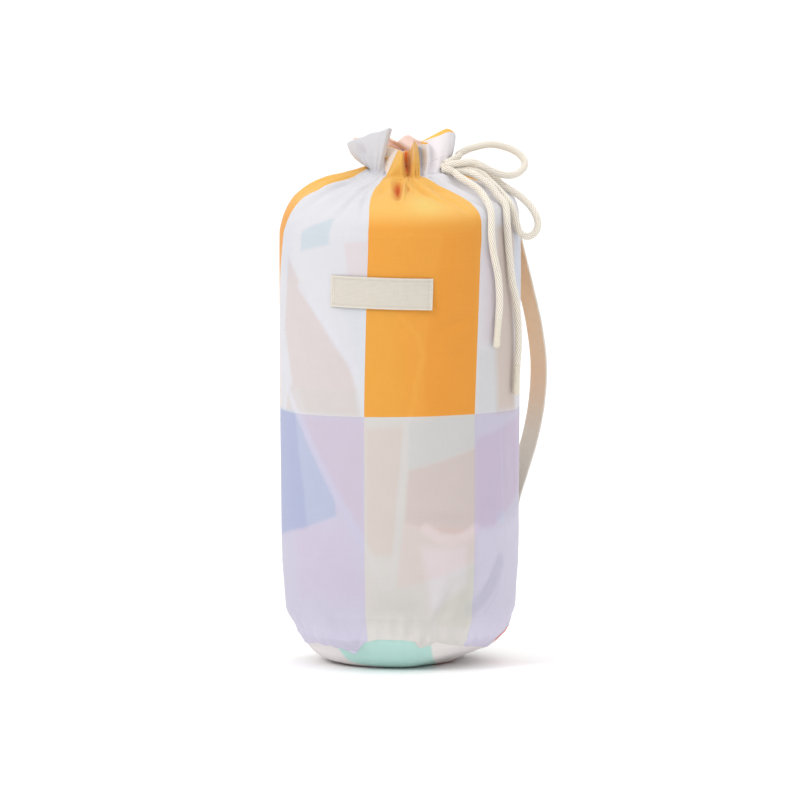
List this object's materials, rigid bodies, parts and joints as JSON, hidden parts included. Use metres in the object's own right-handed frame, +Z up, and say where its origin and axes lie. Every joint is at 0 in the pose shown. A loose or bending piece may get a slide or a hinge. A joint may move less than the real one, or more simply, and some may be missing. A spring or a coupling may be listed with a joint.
{
  "type": "drawstring bag",
  "caption": "Tall round cotton drawstring bag with a gathered neck, a cord tied in a bow, a webbing carry strap and a blank sewn-on label, filled with a folded sheet.",
  "frame": {"origin": "centre of the flat base, on the surface that the bag stands on", "axes": "+Z up along the bag, -Y towards its labelled front, +X towards the side with the bow and the strap"},
  "size_m": [0.208, 0.1902, 0.4163],
  "materials": {
    "printed_cotton": "printed cotton poplin, matt, check print",
    "base_cotton": "printed cotton poplin, matt",
    "facing_cotton": "printed cotton poplin, matt",
    "cotton_cord": "braided cotton, matt",
    "cord_tip": "dipped and pressed cotton, satin",
    "cotton_webbing": "woven cotton webbing, matt",
    "sewing_thread": "polyester thread, slight sheen",
    "label_canvas": "unbleached cotton canvas, matt",
    "seam_tape": "cotton tape, matt",
    "folded_sheet": "printed cotton, matt"
  },
  "bodies": {
    "root": {"body_cloth": "printed_cotton", "base_panel": "base_cotton", "base_seam_binding": "seam_tape", "side_seam_binding": "seam_tape", "casing_facing": "facing_cotton", "casing_stitch_upper": "sewing_thread", "casing_stitch_lower": "sewing_thread", "cord_buttonhole": "sewing_thread", "drawstring_channel_run": "cotton_cord", "bow_knot": "cotton_cord", "bow_loop_upper": "cotton_cord", "bow_loop_lower": "cotton_cord", "strap_upper": "cotton_webbing", "strap_lower": "cotton_webbing", "strap_tack_upper": "sewing_thread", "strap_tack_lower": "sewing_thread", "label_patch": "label_canvas", "label_stitching": "sewing_thread", "packed_sheet": "folded_sheet"},
    "strap": {"strap_free": "cotton_webbing"},
    "front_end": {"drawstring_end_front": "cotton_cord", "end_tip_front": "cord_tip"},
    "rear_end": {"drawstring_end_rear": "cotton_cord", "end_tip_rear": "cord_tip"}
  },
  "joints": [
    {"name": "strap_swing", "type": "hinge", "parent": "root", "child": "strap", "pos_m": [0.09209, 0.04897, 0.231], "axis": [0, 0, 1], "range_deg": [-40, 40]},
    {"name": "front_end_lift", "type": "hinge", "parent": "root", "child": "front_end", "pos_m": [0.0428, -0.0192, 0.3828], "axis": [-0.7781, -0.6281, 0], "range_deg": [0, 40]},
    {"name": "rear_end_lift", "type": "hinge", "parent": "root", "child": "rear_end", "pos_m": [0.0562, -0.0205, 0.3822], "axis": [-0.6062, -0.7953, 0], "range_deg": [0, 35]}
  ]
}
